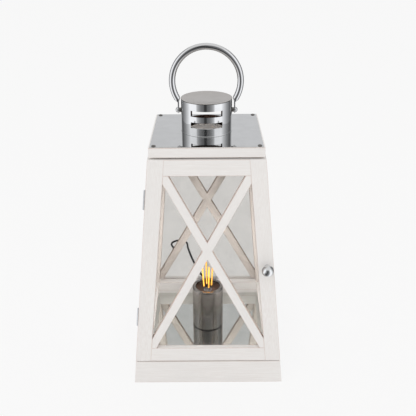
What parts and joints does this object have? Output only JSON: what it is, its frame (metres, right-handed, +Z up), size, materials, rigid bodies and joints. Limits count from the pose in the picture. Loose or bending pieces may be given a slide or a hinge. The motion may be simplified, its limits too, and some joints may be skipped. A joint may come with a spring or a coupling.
{
  "type": "lantern table lamp",
  "caption": "Tapered painted-wood lantern table lamp with a glazed door, crossed strips, mirror floor, steel roof with vented chimney and carrying ring, and a filament bulb in a cup.",
  "frame": {"origin": "centre of the underside of the base board", "axes": "+Z up, the door faces -Y, +X is to the right seen from the door"},
  "size_m": [0.24, 0.4876, 0.5222],
  "materials": {
    "painted_wood": "white wash paint over fine grain, matt",
    "bare_wood": "bare board",
    "floor_mirror": "mirror polished",
    "clear_glass": "clear",
    "polished_steel": "mirror polished",
    "dark_chrome": "smoky polished",
    "zinc_steel": "zinc plated",
    "magnet": "plated",
    "nickel": "nickel plated",
    "brass": "plain",
    "holder_plastic": "dark brown moulded",
    "black_rubber": "matt",
    "black_lead": "smooth sheath",
    "black_plastic": "satin",
    "filament": "amber coated"
  },
  "bodies": {
    "housing": {"plinth_front": "painted_wood", "plinth_back": "painted_wood", "plinth_left": "painted_wood", "plinth_right": "painted_wood", "base_board": "bare_wood", "floor_battens": "bare_wood", "floor_board": "bare_wood", "floor_mirror": "floor_mirror", "post_front_left": "painted_wood", "post_front_right": "painted_wood", "post_back_left": "painted_wood", "post_back_right": "painted_wood", "rail_back_low": "painted_wood", "rail_back_high": "painted_wood", "rails_left": "painted_wood", "rails_right": "painted_wood", "braces_back": "painted_wood", "braces_left": "painted_wood", "braces_right": "painted_wood", "pane_back": "clear_glass", "pane_left": "clear_glass", "pane_right": "clear_glass", "roof_board": "painted_wood", "roof_plate": "polished_steel", "roof_screws": "zinc_steel", "chimney": "polished_steel", "chimney_cap": "polished_steel", "ring_rivets": "polished_steel", "ring_spacers": "black_rubber", "lamp_cup": "dark_chrome", "lamp_holder": "holder_plastic", "lamp_nipple": "brass", "nipple_nuts": "zinc_steel", "inner_lead": "black_lead", "lead_relief": "black_rubber", "lead_loop": "black_lead", "lead_coil": "black_lead", "lead_tail": "black_lead", "plug_body": "black_plastic", "plug_pins": "nickel", "catch_magnet": "magnet", "hinge_frame_leaves": "zinc_steel", "hinge_frame_screws": "zinc_steel", "hinge_pins": "zinc_steel"},
    "door": {"door_stile_left": "painted_wood", "door_stile_right": "painted_wood", "door_rail_top": "painted_wood", "door_rail_low": "painted_wood", "door_braces": "painted_wood", "door_pane": "clear_glass", "door_knob": "polished_steel", "knob_screw": "zinc_steel", "strike_plate": "zinc_steel", "hinge_door_leaves": "zinc_steel", "hinge_door_screws": "zinc_steel"},
    "ring": {"carrying_ring": "polished_steel"},
    "bulb": {"bulb_cap": "nickel", "bulb_glass": "clear_glass", "bulb_stem": "clear_glass", "bulb_filaments": "filament"}
  },
  "joints": [
    {"name": "door_hinge", "type": "hinge", "parent": "housing", "child": "door", "pos_m": [-0.102, -0.0826, 0.205], "axis": [-0.0919, -0.0919, -0.9915], "range_deg": [0, 165]},
    {"name": "ring_swing", "type": "hinge", "parent": "housing", "child": "ring", "pos_m": [0, 0, 0.423], "axis": [1, 0, 0], "range_deg": [-100, 100]},
    {"name": "bulb_lift", "type": "slide", "parent": "housing", "child": "bulb", "axis": [0, 0, 1], "range_m": [0, 0.06]}
  ]
}
